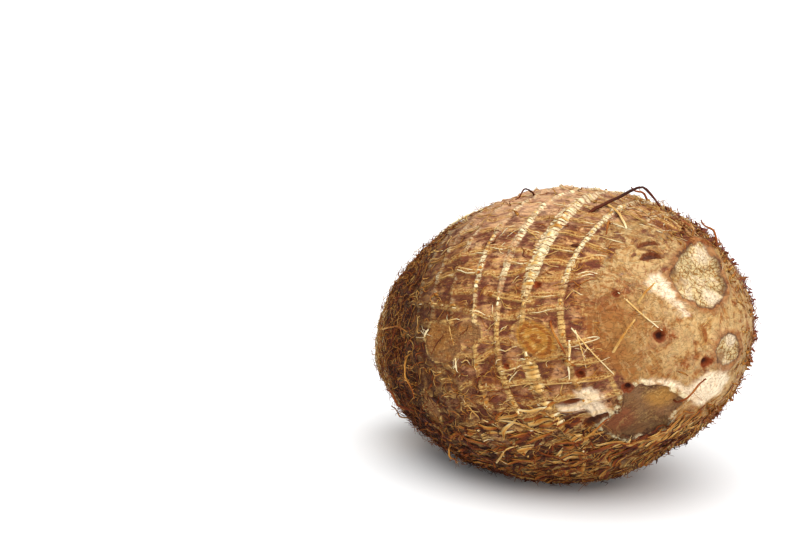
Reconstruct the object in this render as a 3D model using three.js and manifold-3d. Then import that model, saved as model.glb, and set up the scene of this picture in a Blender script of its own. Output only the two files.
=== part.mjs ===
// Taro root: one whole cormel lying on its side, in millimetres, +Z up.
// Its long axis runs along X, with the leaf end (crown) at -X and the bare base at +X. It leans, base end
// up, and rests on a small flat spot whose middle is the origin.

import * as THREE from 'three';
import { mergeVertices } from 'three/addons/utils/BufferGeometryUtils.js';
import Module from 'manifold-3d';

const wasm = await Module();
wasm.setup();

const rad = THREE.MathUtils.degToRad;
const { smoothstep } = THREE.MathUtils;

// Body: places along it (x) are measured from its middle, and angles round it from +Y, so that 90 is the
// top, 180 the front (-Y) and 270 the underside
const HALF_LENGTH = 60.5;
const GIRTH_RADIUS = 38.9;
const HEIGHT_RATIO = 1.04;
const TAPER = [-0.044, -0.202, -0.126];
const LEAN = rad(15.3);
const SWELL = 0.55;
const LOWEST_X = -3.9;
const CENTRE_HEIGHT = 39.4;

// Skin grid: columns round the body, and rows from the bare base to the crown
const COLUMNS = 64;
const BARE_ROWS = [HALF_LENGTH, 60.0, 58.7, 56.6, 54.0, 51.2, 48.4];
const CROWN_ROW = -60.35;

// Leaf-scar rings, from crown to base: place along the axis, height of the ridge and length of its slope
// on the base side; round the crown that slope runs on to the next ring
const RINGS = [
  [-59.0, 0.7, 2.0],
  [-56.9, 0.8, 3.0],
  [-53.7, 1.0, 4.1],
  [-49.4, 1.1, 4.9],
  [-44.3, 1.2, 5.4],
  [-38.6, 1.2, 1.6],
  [-32.4, 1.2, 1.3],
  [-26.0, 1.2, 1.2],
  [-19.4, 1.3, 1.2],
  [-12.8, 1.2, 1.1],
  [-6.0, 1.3, 1.1],
  [1.6, 1.5, 1.1],
  [9.2, 1.3, 1.1],
  [17.4, 1.6, 2.2],
  [27.6, 1.3, 1.1],
  [36.2, 0.7, 1.2],
  [43.6, 0.4, 1.2],
];
const RIDGE_FRONT = 1.0;
const SHORTEST_BAND = 1.5;
const RING_YAW = 3.0;
const RING_BOW = 4.6;
const BUD = { length: 1.3, reach: 3.6 };

// Raised net of fibres between the rings
const NET_HEIGHT = 0.7;
const NET_FADES = [24, 40];
const CROWN_FADES = [-56, -40];

// Places where the skin is hollowed or raised: x, angle, radius and height
const BLEMISHES = [
  [20.8, 172, 5.2, 0.7],
  [-6.6, 168, 7.0, -0.7],
  [-20.8, 198, 5.0, -0.6],
  [39.0, 220, 9.5, -1.0],
  [49.0, 178, 4.6, 0.5],
  [30.0, 20, 8.0, -0.9],
  [5.0, 60, 6.0, 0.6],
];

// Flat scars where side shoots broke off: x, angle, half width, half length and depth
const SCARS = [
  [55.8, 111, 10.4, 8.5, 2.7],
  [58.7, 243, 4.2, 4.9, 0.9],
  [34.0, 318, 5.2, 6.0, 1.2],
];
const SCAR_SIDES = 18;

// Pits that old roots left: x, angle, radius
const PITS = [
  [49.3, 179, 1.5],
  [55.5, 215, 1.3],
  [39.8, 202, 1.4],
  [30.2, 189, 1.0],
  [40.9, 154, 1.0],
  [21.6, 150, 0.9],
  [10.8, 181, 0.8],
  [45.0, 96, 1.4],
  [36.0, 62, 1.2],
  [47.5, 350, 1.5],
  [52.0, 28, 1.2],
  [22.0, 8, 1.3],
  [12.0, 330, 1.1],
];
const PIT_DEPTH = 1.6;
const PIT_SIDES = 7;
const CUTTER_HEIGHT = 8;

// Rootlets: the long one over the top by its points (x, angle, height over the skin), the rest by a rule
const ROOT_SIDES = 4;
const ROOT_SUNK = 1.6;
const TOP_ROOT = [
  [26.6, 111, -1.4],
  [28.2, 107, 0.6],
  [30.6, 99, 1.5],
  [32.2, 90, 2.8],
  [33.6, 83, 4.4],
  [35.6, 80, 3.0],
  [37.6, 77, 1.0],
  [39.4, 74, -1.4],
];
const TOP_ROOT_RADIUS = 0.6;
const ROOTLETS = 20;
const ROOTLET = {
  along: [-50, 54],
  radius: [0.42, 0.6],
  length: [6, 12],
  lift: [1.8, 3.6],
  steps: 4,
};
const TOP_ROOT_STEPS = 12;
const FLOOR_CLEARANCE = 1.0;
const SEED = 41;

function seededRandom(seed) {
  let state = seed;
  return () => {
    state = (state + 0x6d2b79f5) | 0;
    let t = Math.imul(state ^ (state >>> 15), 1 | state);
    t = (t + Math.imul(t ^ (t >>> 7), 61 | t)) ^ t;
    return ((t ^ (t >>> 14)) >>> 0) / 4294967296;
  };
}

// Point and outward normal of the smooth body
function body(x, angle) {
  const c = THREE.MathUtils.clamp(-x / HALF_LENGTH, -1, 1);
  const s = Math.sqrt(1 - c * c);
  const [a, b, d] = TAPER;
  const shape = 1 + a * c + b * c * c + d * c * c * c;
  const radius = GIRTH_RADIUS * s * shape;
  const slope = GIRTH_RADIUS * (c * shape - s * s * (a + 2 * b * c + 3 * d * c * c));
  const outward = HALF_LENGTH * s;
  return {
    point: new THREE.Vector3(x, radius * Math.cos(angle), radius * HEIGHT_RATIO * Math.sin(angle)),
    normal: new THREE.Vector3(
      -slope,
      outward * Math.cos(angle),
      (outward * Math.sin(angle)) / HEIGHT_RATIO,
    ).normalize(),
  };
}

// The rings bow towards the base over the top and the underside, and stand a little askew
function ringShift(place, angle) {
  const fade = 1 - (place / HALF_LENGTH) ** 2;
  const yaw = RING_YAW * (1 + Math.cos(angle));
  const bow = (RING_BOW * (1 - Math.cos(2 * angle - rad(350)))) / 2;
  const waver = 0.5 * Math.sin(5 * angle + place / 7);
  return fade * (yaw + bow + waver);
}

// Low swellings over the whole body
function swell(point) {
  const { x, y, z } = point;
  const first = Math.sin(x / 11 + 0.7) * Math.cos(y / 13 + 0.4);
  const second = Math.sin(z / 9 + 1.1) * Math.cos(x / 17 + y / 12);
  return SWELL * (first + second);
}

// A ring's ridge stands over its foot on the crown side and slopes down on the base side
function ridgeRelief(place, angle) {
  let total = 0;
  RINGS.forEach(([start, height, back], band) => {
    const side = place < start ? RIDGE_FRONT : back;
    const uneven = 0.8 + 0.2 * Math.sin(3 * angle + 2.1 * band);
    total += height * uneven * Math.max(0, 1 - Math.abs(place - start) / side);
  });
  return total;
}

// Cords of fibre run from ring to ring, staggered like the joints of brickwork
function netRelief(place, angle) {
  const band = RINGS.findLastIndex(([start]) => place >= start);
  const cord = 0.5 + 0.5 * Math.cos((COLUMNS / 2) * angle + Math.PI * band);
  const netted = (1 - smoothstep(place, ...NET_FADES)) * smoothstep(place, ...CROWN_FADES);
  return NET_HEIGHT * cord * netted;
}

function blemishRelief(point) {
  let total = 0;
  for (const [x, degrees, radius, height] of BLEMISHES) {
    const away = point.distanceTo(body(x, rad(degrees)).point) / radius;
    total += height * (1 - smoothstep(away, 0.65, 1.15));
  }
  return total;
}

// The skin is pressed smooth where the root lies on it
function pressed(normal) {
  const down = normal.x * Math.sin(LEAN) + normal.z * Math.cos(LEAN);
  return smoothstep(-down, 0.93, 0.985);
}

function skinPoint(place, angle) {
  const x = THREE.MathUtils.clamp(place + ringShift(place, angle), -HALF_LENGTH, HALF_LENGTH);
  const { point, normal } = body(x, angle);
  const bud = BUD.length * (1 - smoothstep(Math.hypot(point.y, point.z), 0, BUD.reach));
  const tip = x < 0 ? bud : 0;
  const relief = ridgeRelief(place, angle) + netRelief(place, angle) + blemishRelief(point);
  const loose = relief * (1 - pressed(normal));
  return point.addScaledVector(normal, swell(point) + loose + tip);
}

// Rows at each ring's crest, at the two feet of its ridge and half way to the next ring's
function rowPlaces() {
  const rows = [...BARE_ROWS];
  for (let i = RINGS.length - 1; i >= 0; i -= 1) {
    const [start, , back] = RINGS[i];
    const foot = start + back;
    const end = (i + 1 < RINGS.length ? RINGS[i + 1][0] : BARE_ROWS.at(-1)) - RIDGE_FRONT;
    if (end - foot > SHORTEST_BAND) {
      rows.push((foot + end) / 2, foot);
    }
    rows.push(start, start - RIDGE_FRONT);
  }
  rows.push(CROWN_ROW, -HALF_LENGTH);
  return rows;
}

function skinGeometry() {
  const rows = rowPlaces();
  const geometry = new THREE.SphereGeometry(1, COLUMNS, rows.length - 1);
  const position = geometry.attributes.position;
  for (let row = 0; row < rows.length; row += 1) {
    for (let column = 0; column <= COLUMNS; column += 1) {
      const angle = ((column % COLUMNS) * 2 * Math.PI) / COLUMNS;
      const point = skinPoint(rows[row], angle);
      position.setXYZ(row * (COLUMNS + 1) + column, point.x, point.y, point.z);
    }
  }
  return geometry;
}

// A point over the swollen body, with the smooth body's normal there
function overSkin(x, degrees, height) {
  const { point, normal } = body(x, rad(degrees));
  return { point: point.addScaledVector(normal, height + swell(point)), normal };
}

// Turns a geometry so that its +Y stands along the skin's normal at a place, at a height over the skin
function setOnSkin(geometry, x, degrees, height) {
  const { point, normal } = overSkin(x, degrees, height);
  const turn = new THREE.Quaternion().setFromUnitVectors(new THREE.Vector3(0, 1, 0), normal);
  return geometry.applyQuaternion(turn).translate(point.x, point.y, point.z);
}

function scarGeometry([x, degrees, halfWidth, halfLength, depth]) {
  const disc = new THREE.CylinderGeometry(1, 0.93, CUTTER_HEIGHT, SCAR_SIDES);
  disc.scale(halfWidth, 1, halfLength);
  return setOnSkin(disc, x, degrees, CUTTER_HEIGHT / 2 - depth);
}

function pitGeometry([x, degrees, radius]) {
  const floorRadius = 0.6 * radius;
  const widening = (radius - floorRadius) / PIT_DEPTH;
  const mouthRadius = floorRadius + widening * CUTTER_HEIGHT;
  const cone = new THREE.CylinderGeometry(mouthRadius, floorRadius, CUTTER_HEIGHT, PIT_SIDES);
  return setOnSkin(cone, x, degrees, CUTTER_HEIGHT / 2 - PIT_DEPTH);
}

function rootGeometry(path, radius, steps) {
  const points = path.map(([x, degrees, height]) => overSkin(x, degrees, height).point);
  const section = new THREE.Shape();
  for (let i = 0; i < ROOT_SIDES; i += 1) {
    const turn = (i * 2 * Math.PI) / ROOT_SIDES;
    const side = [radius * Math.cos(turn), radius * Math.sin(turn)];
    if (i === 0) {
      section.moveTo(...side);
    } else {
      section.lineTo(...side);
    }
  }
  const extrudePath = new THREE.CatmullRomCurve3(points);
  return new THREE.ExtrudeGeometry(section, { steps, extrudePath, bevelEnabled: false });
}

const placing = new THREE.Matrix4()
  .makeTranslation(-LOWEST_X, 0, CENTRE_HEIGHT)
  .multiply(new THREE.Matrix4().makeRotationY(-LEAN));

// Rootlets come out of the skin, arch over it and stay clear of the floor
function rootletPaths() {
  const random = seededRandom(SEED);
  const between = ([low, high]) => low + (high - low) * random();
  const paths = [];
  while (paths.length < ROOTLETS) {
    const x = between(ROOTLET.along);
    const degrees = between([0, 360]);
    const length = between(ROOTLET.length);
    const lift = between(ROOTLET.lift);
    const heading = between([0, 2 * Math.PI]);
    const radius = between(ROOTLET.radius);
    const start = body(x, rad(degrees)).point;
    const round = Math.max(12, Math.hypot(start.y, start.z));
    const rise = [
      [0, -ROOT_SUNK],
      [0.12, 0.9],
      [0.45, lift],
      [0.8, 0.8 * lift],
      [1, lift],
    ];
    const path = rise.map(([part, height]) => [
      x + part * length * Math.cos(heading),
      degrees + THREE.MathUtils.radToDeg((part * length * Math.sin(heading)) / round),
      height,
    ]);
    const lowest = Math.min(...path.map((spot) => overSkin(...spot).point.applyMatrix4(placing).z));
    const inside = Math.abs(path.at(-1)[0]) < HALF_LENGTH - 3;
    if (inside && lowest > ROOT_SUNK + FLOOR_CLEARANCE) {
      paths.push({ path, radius });
    }
  }
  return paths;
}

function solid(geometry) {
  geometry.deleteAttribute('normal');
  geometry.deleteAttribute('uv');
  const merged = mergeVertices(geometry, 1e-4);
  const vertProperties = new Float32Array(merged.attributes.position.array);
  const triVerts = new Uint32Array(merged.index.array);
  return new wasm.Manifold(new wasm.Mesh({ numProp: 3, vertProperties, triVerts }));
}

function placed(geometry) {
  return solid(geometry.applyMatrix4(placing));
}

function meshGeometry(shape) {
  const { vertProperties, triVerts } = shape.getMesh();
  const geometry = new THREE.BufferGeometry();
  geometry.setAttribute('position', new THREE.BufferAttribute(vertProperties, 3));
  geometry.setIndex(new THREE.BufferAttribute(triVerts, 1));
  geometry.computeVertexNormals();
  return geometry;
}

function cormShape() {
  let shape = placed(skinGeometry());
  for (const scar of SCARS) {
    shape = shape.subtract(placed(scarGeometry(scar)));
  }
  for (const pit of PITS) {
    shape = shape.subtract(placed(pitGeometry(pit)));
  }
  shape = shape.add(placed(rootGeometry(TOP_ROOT, TOP_ROOT_RADIUS, TOP_ROOT_STEPS)));
  for (const { path, radius } of rootletPaths()) {
    shape = shape.add(placed(rootGeometry(path, radius, ROOTLET.steps)));
  }
  const [wide, thick] = [4 * HALF_LENGTH, GIRTH_RADIUS];
  const below = new THREE.BoxGeometry(wide, wide, thick).translate(0, 0, -thick / 2);
  return shape.subtract(solid(below));
}

const corm = new THREE.Mesh(
  meshGeometry(cormShape()),
  new THREE.MeshStandardMaterial({ color: 0x9c6b3f, roughness: 0.85, metalness: 0 }),
);
corm.name = 'corm';

const group = new THREE.Group();
group.add(corm);

export default group;
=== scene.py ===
from math import cos, pi, radians, sin

import bpy
import numpy as np
from mathutils import Matrix, Vector


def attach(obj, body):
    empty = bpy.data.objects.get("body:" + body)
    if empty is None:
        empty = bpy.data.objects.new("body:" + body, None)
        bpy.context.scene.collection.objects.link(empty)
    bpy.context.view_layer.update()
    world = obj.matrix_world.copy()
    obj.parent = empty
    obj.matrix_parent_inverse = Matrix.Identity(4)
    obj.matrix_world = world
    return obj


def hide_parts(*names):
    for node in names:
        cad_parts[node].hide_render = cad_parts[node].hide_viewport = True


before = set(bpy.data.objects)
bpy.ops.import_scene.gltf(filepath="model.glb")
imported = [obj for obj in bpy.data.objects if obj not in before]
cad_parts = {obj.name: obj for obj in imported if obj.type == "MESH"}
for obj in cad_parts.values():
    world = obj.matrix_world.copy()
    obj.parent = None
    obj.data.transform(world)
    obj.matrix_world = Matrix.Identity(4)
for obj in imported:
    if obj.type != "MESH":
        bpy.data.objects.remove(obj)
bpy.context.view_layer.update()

# The root's own frame is in millimetres: x runs along it from the crown (-) to the bare base (+), and
# angles go round it with 90 on top, 180 at the front and 270 underneath.
mm = 0.001
body = {
    "halfLength": 60.5,
    "girth": 38.9,
    "tall": 1.04,
    "taper": (-0.044, -0.202, -0.126),
    "lean": radians(15.3),
    "lowestX": -3.9,
    "centreHeight": 39.4,
    "swell": 0.55,
}
rings = {
    # place along the root, height of the ridge, length of its slope on the base side, how much of it is pale
    "ridges": [
        (-59.0, 0.7, 2.0, 0.0), (-56.9, 0.8, 3.0, 0.0), (-53.7, 1.0, 4.1, 0.0), (-49.4, 1.1, 4.9, 0.0),
        (-44.3, 1.2, 5.4, 0.0), (-38.6, 1.2, 1.6, 0.3), (-32.4, 1.2, 1.3, 0.3), (-26.0, 1.2, 1.2, 0.42),
        (-19.4, 1.3, 1.2, 0.4), (-12.8, 1.2, 1.1, 0.42), (-6.0, 1.3, 1.1, 0.4), (1.6, 1.5, 1.1, 0.55),
        (9.2, 1.3, 1.1, 0.95), (17.4, 1.6, 2.2, 0.9), (27.6, 1.3, 1.1, 0.75), (36.2, 0.7, 1.2, 0.45),
        (43.6, 0.4, 1.2, 0.15),
    ],
    "front": 1.0,
    "yaw": 3.0,
    "bow": 4.6,
    "worn": 0.6,           # how much of each ridge is left standing
    "paleHalf": 0.6,       # half the width of the pale crest
    # where the pale crest is wider: ring, first and last angle, half the width
    "wide": [(12, 96, 150, 1.1), (13, 96, 160, 2.0), (13, 184, 222, 2.1), (11, 96, 130, 0.9)],
}
scars = [               # x, angle, depth, outline in the plane that touches the root there
    (55.8, 111, 2.7, [
        (-9.3, 3.5), (-10.6, 0.3), (-8.0, -0.6), (-6.8, -3.3), (-2.3, -4.7), (0.4, -7.5), (4.8, -7.8),
        (8.7, -5.9), (10.5, -2.5), (11.0, 2.3), (9.3, 5.7), (7.1, 7.8), (2.9, 8.1), (-1.6, 6.3), (-4.8, 5.7),
    ]),
    (58.7, 243, 0.9, [
        (6.2, 0.5), (5.8, 2.4), (3.6, 4.0), (0.7, 3.9), (-1.3, 2.3), (-2.8, 0.6), (-2.6, -1.6), (-0.4, -3.5),
        (1.7, -4.9), (4.4, -3.8), (6.1, -1.4),
    ]),
    (34.0, 318, 1.2, [
        (4.9, 0.2), (4.6, 3.0), (2.6, 5.6), (-0.8, 5.8), (-3.4, 4.4), (-5.1, 1.2), (-4.6, -2.6), (-2.2, -5.4),
        (1.2, -5.9), (3.9, -3.4),
    ]),
]
scarTones = [           # x, angle, radius, amount, tint
    (54.2, 92, 3.8, 0.8, "chalk"), (57.1, 122, 2.6, 0.6, "chalk"), (58.3, 138, 3.8, 0.8, "chalk"),
    (52.4, 136, 4.0, 0.6, "corkGap"), (51.0, 130, 2.6, 0.7, "rim"), (59.2, 109, 2.4, 0.6, "rim"),
    (59.4, 226, 2.9, 0.9, "chalk"), (57.3, 226, 2.6, 0.8, "shedGrey"), (59.2, 263, 2.2, 0.9, "rim"),
]
pits = [                # x, angle, radius
    (48.9, 179, 1.45), (55.1, 215, 1.3), (39.4, 202, 1.4), (30.0, 189, 1.0), (40.6, 154, 0.75),
    (21.3, 150, 0.8), (10.6, 181, 0.7), (45.0, 72, 1.4), (36.0, 50, 1.2), (47.5, 350, 1.5),
    (52.0, 28, 1.2), (22.0, 8, 1.3), (12.0, 330, 1.1),
]
pitDepth = 1.6
dishes = [              # rounds of browner skin about the pits: x, angle, radius
    (49.2, 179, 4.6), (41.4, 182, 3.2), (54.6, 214, 3.4), (44.6, 168, 3.0), (52.0, 30, 4.2), (47.0, 352, 4.6),
    (45.0, 62, 4.0), (50.5, 330, 3.6),
]
disks = [               # round shed patches: x, angle, half width, half length, height
    (20.6, 172, 4.2, 6.2, 0.4),
    (-9.2, 169, 5.2, 6.4, -0.35),
    (0.4, 167, 3.6, 3.6, -0.3),
    (-20.6, 198, 5.6, 3.2, -0.4),
    (30.0, 20, 6.0, 7.0, -0.5),
    (5.0, 60, 5.0, 6.0, 0.35),
]
peel = {                # skin torn off
    "x": 39.9,
    "angle": 219,
    "depth": 0.8,
    "outline": [
        (6.9, -3.3), (8.5, 1.2), (5.2, 7.0), (-2.2, 11.0), (-4.5, 6.3), (-10.1, 3.9), (-8.1, -3.3),
        (-8.9, -6.3), (-3.4, -11.6), (-0.5, -12.1), (1.3, -6.4),
    ],
    "tones": {"red": (33.4, 218, 6.5), "gold": (44.6, 217, 6.0), "rim": (44.4, 206, 4.5)},
}
slits = [(25.7, 200, 0.7, 2.4)]
cracks = [              # longer splits with curved lips: x, angle, outline
    (29.0, 212, [
        (-1.9, -3.8), (-0.5, -2.8), (1.4, -0.2), (2.0, 3.0), (0.4, 3.4), (-0.9, 0.9), (-2.6, -1.3),
        (-3.0, -3.1),
    ]),
    (44.6, 118, [(1.4, 3.6), (-0.3, 2.0), (-1.0, -0.1), (-0.4, -2.4), (1.0, -3.8), (0.7, -1.8), (0.7, 0.1)]),
    (46.1, 126, [
        (1.5, 3.0), (-0.5, 2.0), (-1.2, 0.0), (-0.7, -2.1), (0.8, -3.0), (1.1, -1.2), (1.4, 0.2), (1.8, 1.8),
    ]),
]
chalkOutlines = [       # whitish patches: x, angle, how far in they are at their whitest, outline
    (51.8, 231, 2.3, [
        (13.2, -10.4), (9.1, -5.0), (2.9, -2.3), (2.5, 1.9), (1.7, 4.7), (-2.7, 8.2), (-6.8, 6.9),
        (-7.9, 3.2), (-7.2, -0.9), (-6.9, -3.5), (-2.1, -4.5), (3.9, -4.8), (9.1, -7.6), (11.8, -10.1),
    ]),
    (51.3, 151, 3.4, [
        (-1.2, 7.8), (-3.4, 6.6), (-3.0, 2.3), (-1.1, -2.5), (0.5, -7.9), (2.3, -7.2), (2.4, -2.1),
        (2.7, 2.9), (2.1, 5.9),
    ]),
    (28.4, 202, 2.4, [
        (4.1, -1.8), (4.0, 3.3), (0.3, 5.5), (-1.2, 3.4), (-5.3, 5.7), (-7.1, 3.0), (-3.0, -1.0),
        (-2.0, -7.6), (1.2, -7.8), (0.3, -1.1),
    ]),
]
chalky = [              # more of them, rounder: x, angle, radius
    (44.0, 20, 6.0), (50.0, 310, 5.0), (30.0, 340, 4.0),
]


# Helpers on arrays of numbers


def smooth(value, low, high):
    t = np.clip((value - low) / (high - low), 0, 1)
    return t * t * (3 - 2 * t)


def hashed(cell, seed):
    mixed = np.sin(cell @ np.array([12.9898, 78.233, 37.719]) + 4.7 * seed) * 43758.5453
    return mixed - np.floor(mixed)


def rim(away, height, at, width):
    # a rounded rim along an outline
    return height * np.exp(-(((away - at) / width) ** 2))


def lumps(point, size, seed=0):
    # smooth noise between -1 and 1; size is the lumps' width, or one width for each direction
    spot = point / size
    low = np.floor(spot)
    t = spot - low
    t = t * t * (3 - 2 * t)
    total = 0
    for corner in np.ndindex(2, 2, 2):
        step = np.array(corner)
        weight = np.prod(np.where(step == 1, t, 1 - t), axis=-1)
        total = total + weight * hashed(low + step, seed)
    return 2 * total - 1


# The root's form


def smoothBody(x, angle):
    c = np.clip(-x / body["halfLength"], -1, 1)
    s = np.sqrt(1 - c * c)
    a, b, d = body["taper"]
    shape = 1 + a * c + b * c**2 + d * c**3
    radius = body["girth"] * s * shape
    slope = body["girth"] * (c * shape - s * s * (a + 2 * b * c + 3 * d * c * c))
    outward = body["halfLength"] * s
    across, up = np.cos(angle), np.sin(angle)
    point = np.stack([x, radius * across, radius * body["tall"] * up], -1)
    normal = np.stack([-slope, outward * across, outward * up / body["tall"]], -1)
    return point, normal / np.linalg.norm(normal, axis=-1, keepdims=True)


def swell(point):
    x, y, z = np.moveaxis(point, -1, 0)
    first = np.sin(x / 11 + 0.7) * np.cos(y / 13 + 0.4)
    second = np.sin(z / 9 + 1.1) * np.cos(x / 17 + y / 12)
    return body["swell"] * (first + second)


def facing(place, angle):
    # how far a place lies to the far side, to the top and underneath, each from 0 to 1
    girth = np.sqrt(np.clip(1 - (place / body["halfLength"]) ** 2, 0, 1))
    aside, up = girth * np.cos(angle), girth * np.sin(angle)
    return aside, np.clip(up, 0, 1), np.clip(-up, 0, 1)


def ringShift(place, angle):
    fade = 1 - (place / body["halfLength"]) ** 2
    yaw = rings["yaw"] * (1 + np.cos(angle))
    bow = rings["bow"] * (1 - np.cos(2 * angle - radians(350))) / 2
    return fade * (yaw + bow + 0.5 * np.sin(5 * angle + place / 7))


def leaned(point):
    # from the root's own frame to the model's, still in millimetres
    x, y, z = np.moveaxis(point, -1, 0)
    c, s = cos(body["lean"]), sin(body["lean"])
    return np.stack([x * c - z * s - body["lowestX"], y, x * s + z * c + body["centreHeight"]], -1)


def leanedWay(way):
    x, y, z = np.moveaxis(way, -1, 0)
    c, s = cos(body["lean"]), sin(body["lean"])
    return np.stack([x * c - z * s, y, x * s + z * c], -1)


def tangentPlane(x, degrees):
    # middle of a mark on the swollen body, its normal, and two directions in the touching plane
    point, normal = smoothBody(np.array(float(x)), np.array(radians(degrees)))
    turn = Vector((0, 1, 0)).rotation_difference(Vector(normal))
    wide, long = (np.array(turn @ Vector(way)) for way in ((1, 0, 0), (0, 0, 1)))
    return point + normal * swell(point), normal, wide, long


def ovalDistance(point, x, degrees, halfWidth, halfLength):
    middle, normal, wide, long = tangentPlane(x, degrees)
    away = point - middle
    oval = np.hypot((away @ wide) / halfWidth, (away @ long) / halfLength)
    distance = (oval - 1) * min(halfWidth, halfLength)
    return np.where(away @ normal < -1.5 * max(halfWidth, halfLength), 30, distance)


def outlineDistance(point, x, degrees, outline):
    # negative inside the outline
    middle, normal, wide, long = tangentPlane(x, degrees)
    away = point - middle
    flat = np.stack([away @ wide, away @ long], -1)
    corners = np.array(outline)
    nearest = np.full(flat.shape[:-1], 1e9)
    inside = np.zeros(flat.shape[:-1], bool)
    for a, b in zip(corners, np.roll(corners, -1, axis=0)):
        edge = b - a
        t = np.clip(((flat - a) @ edge) / (edge @ edge), 0, 1)
        nearest = np.minimum(nearest, np.linalg.norm(flat - a - t[..., None] * edge, axis=-1))
        crosses = (a[1] > flat[..., 1]) != (b[1] > flat[..., 1])
        rise = edge[1] if abs(edge[1]) > 1e-9 else 1e-9
        inside ^= crosses & (flat[..., 0] < a[0] + (flat[..., 1] - a[1]) / rise * edge[0])
    return np.where(away @ normal < -15, 30, np.where(inside, -nearest, nearest))


ringPlaces = np.array([ridge[0] for ridge in rings["ridges"]])

# The raised net is made of cords, each a pair of strands that meet at both ends. The clearest ones have
# their places here (x, angle, x, angle), and seeded ones fill in between them.
cords = {
    "clear": [
        (-0.6, 123, 13.2, 123), (-2.2, 134, 5.2, 135), (13.5, 124, 19.4, 127), (5.2, 144, 11.0, 146),
        (6.0, 152, 20.0, 157), (21.2, 148, 29.4, 147), (-18.4, 152, -3.2, 157), (-0.6, 158, 8.5, 162),
        (11.8, 140, 18.7, 140), (-25.3, 163, -20.5, 165), (3.0, 170, 7.8, 170), (-30.1, 191, -19.4, 190),
        (-12.9, 184, -7.4, 185), (-26.2, 178, -21.1, 181), (-10.2, 178, -6.9, 181), (1.1, 188, 5.6, 189),
        (-7.1, 194, -3.0, 195), (-0.9, 194, 2.6, 196), (-16.4, 179, -10.9, 181), (-12.4, 190, -8.4, 191),
        (-6.4, 188, -2.1, 186), (4.7, 198, 10.1, 198), (6.4, 206, 9.8, 209), (-9.9, 204, -2.5, 202),
        (-11.2, 209, 0.0, 211), (13.3, 227, 23.1, 223), (18.4, 232, 24.4, 232), (0.5, 227, 9.9, 227),
        (12.6, 197, 17.6, 197),
    ],
    "spacing": (3.6, 7.4),
    "apart": 2.8,           # a seeded one closer than this to a clear one is left out
    "skipped": 0.12,
    "wave": (0.05, 0.30),
    "gap": (0.5, 0.95),
    "thick": (0.12, 0.19),
    "tone": (0.66, 0.98),
    "height": 0.42,
}


def cordLine(x, cord, radius):
    # the angle of a cord's middle line at x, and how far along it that is
    x0, angle0, x1, angle1, wave, turn = cord[:6]
    t = np.clip((x - x0) / (x1 - x0), 0, 1)
    return angle0 + (angle1 - angle0) * t + wave * np.sin(2 * pi * (1.3 * t + turn)) / radius, t


def cordDistance(x, angle, radius, cord):
    line, _ = cordLine(x, cord, radius)
    aside = ((angle - line + pi) % (2 * pi) - pi) * radius
    beyond = np.maximum(0, np.maximum(cord[0] - x, x - cord[2]))
    return np.hypot(aside, beyond), aside


def planCords(random):
    planned = []

    def add(x0, angle0, x1, angle1):
        shape = [random.uniform(*cords[name]) for name in ("wave", "gap", "thick", "tone")]
        planned.append((x0, angle0, x1, angle1, shape[0], random.random(), *shape[1:]))

    for x0, degrees0, x1, degrees1 in cords["clear"]:
        add(x0, radians(degrees0), x1, radians(degrees1))
    named = list(planned)
    for low, high in zip(ringPlaces[4:-1], ringPlaces[5:]):
        middle = (low + high) / 2
        radius = smoothBody(np.array(middle), np.array(pi / 2))[0][2]
        angle = random.uniform(0, 5) / radius
        while angle < 2 * pi:
            shift = float(ringShift(middle, angle))
            taken = [cordDistance(middle + shift, angle, radius, cord)[0] < cords["apart"] for cord in named]
            if not any(taken) and random.random() > cords["skipped"]:
                ends = low + shift + random.uniform(-0.7, 1.0), high + shift + random.uniform(-1.2, 0.5)
                drift = random.normal(0, 0.5) / radius
                add(ends[0], angle - drift, ends[1], angle + drift)
            angle += random.uniform(*cords["spacing"]) / radius
    return planned


plannedCords = planCords(np.random.default_rng(3))
print("cords planned:", len(plannedCords))


def ringPhase(place):
    # 1 at the first ring, 2 at the second and so on, with even steps between
    ends = np.concatenate([[-body["halfLength"] - 1e-6], ringPlaces, [body["halfLength"]]])
    return np.interp(place, ends, np.arange(len(ends)))


def ringHalf(band, angle):
    # half the width of a ring's pale crest
    half = rings["paleHalf"] + 0 * angle
    turned = np.degrees(angle) % 360
    for wideBand, first, last, widest in rings["wide"]:
        if band == wideBand:
            rising = (widest - half) * smooth(turned, first - 8, first)
            half = half + rising * (1 - smooth(turned, last - 14, last))
    return half


bumps = [               # height, width of the lumps, seed, share left on smooth skin, share left on the crown
    (0.30, 6.5, 6, 0.5, 0.5), (0.20, 2.3, 7, 0.25, 0.5), (0.14, np.array([5.0, 1.1, 1.1]), 8, 0.6, 0),
]


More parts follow.
